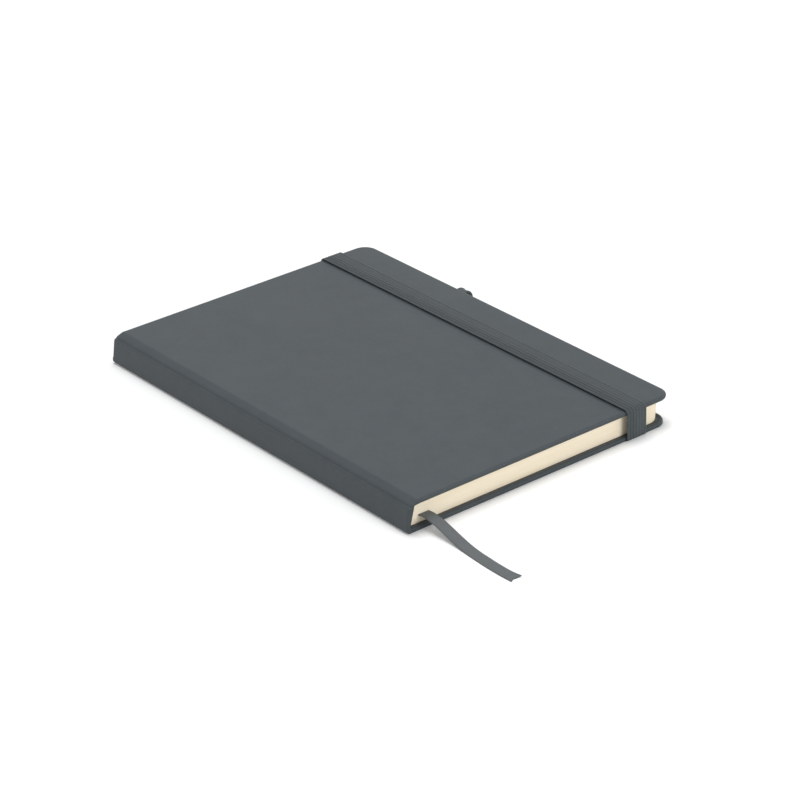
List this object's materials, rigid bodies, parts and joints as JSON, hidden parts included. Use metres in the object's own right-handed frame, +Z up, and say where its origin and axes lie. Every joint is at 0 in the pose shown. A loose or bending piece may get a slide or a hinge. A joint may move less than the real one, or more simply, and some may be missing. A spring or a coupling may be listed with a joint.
{
  "type": "hard cover notebook",
  "caption": "Hard cover notebook with rounded fore corners, wrapped covers on flexible joints, an elastic closure strap, a pen loop and a ribbon bookmark.",
  "frame": {"origin": "middle of the back cover's outer face, on the surface that the closed book lies on", "axes": "+X from the spine to the fore edge, +Y from the tail to the head, +Z up from the back cover to the front cover"},
  "size_m": [0.1583, 0.2667, 0.015],
  "materials": {
    "cover_material": "soft matt coated sheet with a fine grain, grey",
    "cream_paper": "cream leaves, cut edges",
    "endpaper": "plain cream paper",
    "greyboard": "uncoated board",
    "lining_cloth": "open weave cotton",
    "woven_elastic": "ribbed woven elastic, grey",
    "satin_ribbon": "plain woven ribbon, grey"
  },
  "bodies": {
    "pages": {"page_block": "cream_paper", "spine_lining": "lining_cloth", "spine_board": "greyboard", "spine_skin": "cover_material", "front_joint_skin": "cover_material", "back_joint_skin": "cover_material", "ribbon_inside": "satin_ribbon", "bookmark_ribbon": "satin_ribbon"},
    "front_cover": {"front_board": "greyboard", "front_cover_skin": "cover_material", "front_endpaper": "endpaper"},
    "back_cover": {"back_board": "greyboard", "back_cover_skin": "cover_material", "back_endpaper": "endpaper", "closure_strap": "woven_elastic", "pen_loop": "woven_elastic"}
  },
  "joints": [
    {"name": "front_cover_joint", "type": "hinge", "parent": "pages", "child": "front_cover", "pos_m": [-0.06811, 0, 0.013], "axis": [0, -1, 0], "range_deg": [0, 180], "deforming": ["front_joint_skin", "closure_strap"]},
    {"name": "back_cover_joint", "type": "hinge", "parent": "pages", "child": "back_cover", "pos_m": [-0.0704, 0, 0.001], "axis": [0, 1, 0], "range_deg": [0, 180], "deforming": ["back_joint_skin", "closure_strap"]}
  ]
}
